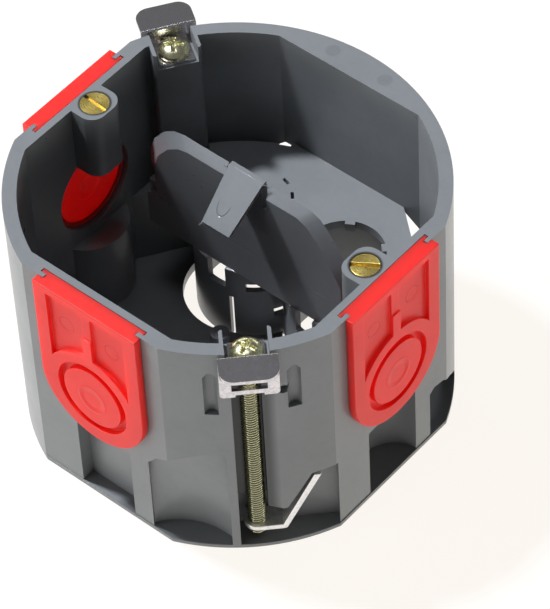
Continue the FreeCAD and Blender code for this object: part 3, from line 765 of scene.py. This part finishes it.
# %% [markdown]
# ## Table
#
# The box stands on a pale ground that throws light up onto its walls. A white table under stronger lamps
# could do that, but such lamps would burn out the box. So the table's own colour is dark, and a glow
# makes it pale.

# %% Table
TABLE_HALF = 3.0
TABLE_COLOUR = (0.10, 0.11, 0.12)
TABLE_GLOW = (0.94, 0.90, 0.85)


def floor():
    """Square table at the height of the base."""
    edges = (-TABLE_HALF, TABLE_HALF)
    mesh = bpy.data.meshes.new("floor")
    mesh.from_pydata([(x, y, 0) for y in edges for x in edges], [], [(0, 1, 3, 2)])
    ground = bpy.data.objects.new("floor", mesh)
    bpy.context.collection.objects.link(ground)
    finish = Finish("floor")
    finish.set(Base_Color=TABLE_COLOUR, Roughness=1.0, Specular_IOR_Level=0.0)
    finish.set(Emission_Color=TABLE_GLOW, Emission_Strength=1.0)
    mesh.materials.append(finish.material)
    print(f"table: {2 * TABLE_HALF} m wide")


floor()

# %% [markdown]
# ## World
#
# The walls get much of their light from the horizon, which is bright, but dimmer behind the camera. The
# sky above is dim, so that the inside of the box stays dark, and a little brighter in reflections, so
# that metal has something to show. An image of a studio could do all this, but the strength of each part
# is easier to set in a few nodes. What the camera itself sees behind the object is plain white, and
# lights nothing.

# %% World
HORIZON_COLOUR = (1.0, 0.96, 0.86)
HORIZON_POWER = 5.6
HORIZON_EDGE = (0.02, 0.17)
FRONT = (0.676, -0.737, 0.0)
FRONT_EDGE = (0.45, 0.92)
FRONT_SHARE = 0.1
SKY = ((0.95, 0.98, 1.0), 0.05)
SKY_IN_METAL = ((0.97, 0.98, 1.0), 0.14)
WHITE = ((1.0, 1.0, 1.0), 1.0)


def world():
    """Bright horizon and dim sky for the light, and pure white where the camera sees them."""
    studio = bpy.data.worlds.new("studio")
    bpy.context.scene.world = studio
    studio.use_nodes = True
    studio.node_tree.nodes.clear()
    graph = Graph(studio.node_tree)

    def glow(colour, strength):
        return graph.node("ShaderNodeBackground", {"Color": colour, "Strength": strength}, 0)

    def choose(factor, first, second):
        return graph.node("ShaderNodeMixShader", {0: factor, 1: first, 2: second}, 0)

    direction = graph.node("ShaderNodeTexCoord", {}, "Generated")
    up = graph.node("ShaderNodeSeparateXYZ", {0: direction}, "Z")
    front = graph.node("ShaderNodeVectorMath", {0: direction, 1: FRONT}, "Value", operation="DOT_PRODUCT")
    fade = {"Value": front, "From Min": FRONT_EDGE[0], "From Max": FRONT_EDGE[1]}
    fade |= {"To Min": HORIZON_POWER, "To Max": HORIZON_POWER * FRONT_SHARE}
    power = graph.node("ShaderNodeMapRange", fade, "Result", interpolation_type="SMOOTHSTEP")
    in_metal = graph.node("ShaderNodeLightPath", {}, "Is Glossy Ray")
    in_view = graph.node("ShaderNodeLightPath", {}, "Is Camera Ray")
    sky = choose(in_metal, glow(*SKY), glow(*SKY_IN_METAL))
    light = choose(up.step(*HORIZON_EDGE), glow(HORIZON_COLOUR, power), sky)
    output = studio.node_tree.nodes.new("ShaderNodeOutputWorld")
    graph.feed(output.inputs["Surface"], choose(in_view, light, glow(*WHITE)))
    print("world:", len(studio.node_tree.nodes), "nodes")


world()

# %% [markdown]
# ## Lamps
#
# One small lamp high on the -X side is the key: being small, it draws the sharp edge of shade inside the
# box. A weak one straight above reaches the tray, and a broad one on the left of the camera fills the
# outer walls. A single large lamp would be simpler, but would leave no edge of shade.

# %% Lamps
LAMP_COLOUR = (0.95, 0.98, 1.05)
LAMPS = {
    "key": ((-0.707, -0.15, 1.34), (0, 0, 0.03), (0.12, 0.12), 28.0),
    "top": ((0, 0, 1.6), (0, 0, 0.03), (0.3, 0.3), 2.0),
    "left": ((-0.70, -1.20, 0.58), (0, 0, 0.04), (1.0, 0.5), 4.4),
}


def area_light(name, place, aim, size, power):
    """Rectangular lamp at a place, aimed at a point, with its two sides in metres and its power in watts."""
    lamp = bpy.data.lights.new(name, "AREA")
    lamp.shape = "RECTANGLE"
    lamp.size, lamp.size_y = size
    lamp.energy = power
    lamp.color = LAMP_COLOUR
    thing = bpy.data.objects.new(name, lamp)
    thing.location = place
    thing.rotation_euler = (Vector(aim) - Vector(place)).to_track_quat("-Z", "Y").to_euler()
    bpy.context.collection.objects.link(thing)
    print(f"{name} lamp: {power} W")


for name, (place, aim, size, power) in LAMPS.items():
    area_light(name, place, aim, size, power)

# %% [markdown]
# ## Camera
#
# The photograph was taken from well away with a long lens, so the box's upright edges run almost
# parallel. The camera's place and its three directions were fitted to the photograph, which aiming it by
# eye can't match. The focal length was fitted in pixels, and becomes millimetres when the photograph's
# width stands for the sensor's.

# %% Camera
CAMERA_PLACE = (0.31106, -0.328845, 0.53935)
CAMERA_RIGHT = (0.764464, 0.643598, -0.037108)
CAMERA_DOWN = (0.467521, -0.593112, -0.655471)
CAMERA_AHEAD = (-0.443869, 0.483735, -0.754308)
FOCAL_PIXELS = 3949.2
PHOTO_WIDTH_PIXELS = 550
SENSOR_MM = 36.0
CLIP_START = 0.05


def camera():
    """Camera at the photograph's viewing angle."""
    lens = bpy.data.cameras.new("camera")
    lens.sensor_fit = "HORIZONTAL"
    lens.sensor_width = SENSOR_MM
    lens.lens = SENSOR_MM * FOCAL_PIXELS / PHOTO_WIDTH_PIXELS
    lens.clip_start = CLIP_START
    turn = Matrix((Vector(CAMERA_RIGHT), -Vector(CAMERA_DOWN), -Vector(CAMERA_AHEAD))).transposed().to_4x4()
    thing = bpy.data.objects.new("camera", lens)
    thing.matrix_world = Matrix.Translation(CAMERA_PLACE) @ turn
    bpy.context.collection.objects.link(thing)
    bpy.context.scene.camera = thing
    print(f"camera: {lens.lens:.0f} mm lens")


camera()
bpy.context.scene.view_settings.view_transform = "Standard"
